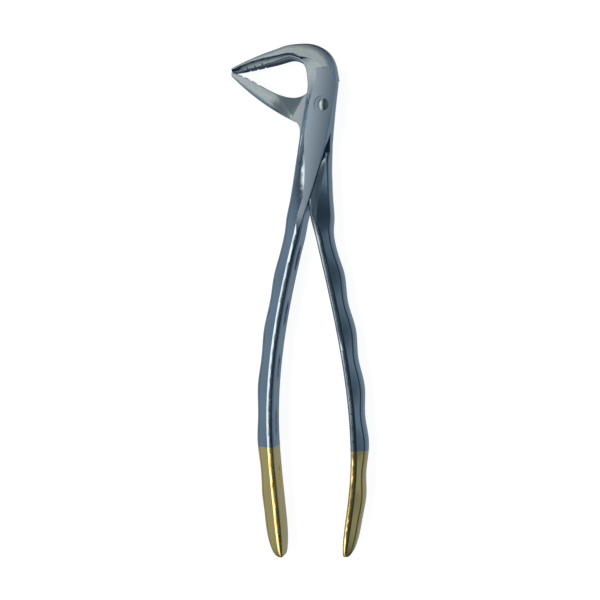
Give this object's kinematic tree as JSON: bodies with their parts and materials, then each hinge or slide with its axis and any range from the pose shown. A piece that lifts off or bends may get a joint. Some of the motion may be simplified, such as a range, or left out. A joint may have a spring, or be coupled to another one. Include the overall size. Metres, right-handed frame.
{
  "type": "extraction forceps",
  "caption": "Lower tooth extraction forceps: beaks at a right angle to crossed, waved handles, riveted lap joint, gilt handle ends.",
  "frame": {"origin": "on the pivot axis, in the plane of the flat rear face of the joint", "axes": "+Z along the pivot towards the rivet's domed head, +Y from the pivot towards the beaks, handles along -Y, beaks reach along -X"},
  "size_m": [0.046, 0.1687, 0.0083],
  "materials": {
    "upper_steel": "polished handle, satin joint face and beak, handle end gold plated",
    "lower_steel": "polished handle, satin neck and beak, handle end gold plated",
    "rivet_steel": "polished domed head"
  },
  "bodies": {
    "lower_half": {"lower_beak_half": "lower_steel", "pivot_rivet": "rivet_steel"},
    "upper_half": {"upper_beak_half": "upper_steel"}
  },
  "joints": [
    {"name": "jaw_hinge", "type": "hinge", "parent": "lower_half", "child": "upper_half", "pos_m": [0, 0, 0], "axis": [0, 0, -1], "range_deg": [0, 28]}
  ]
}
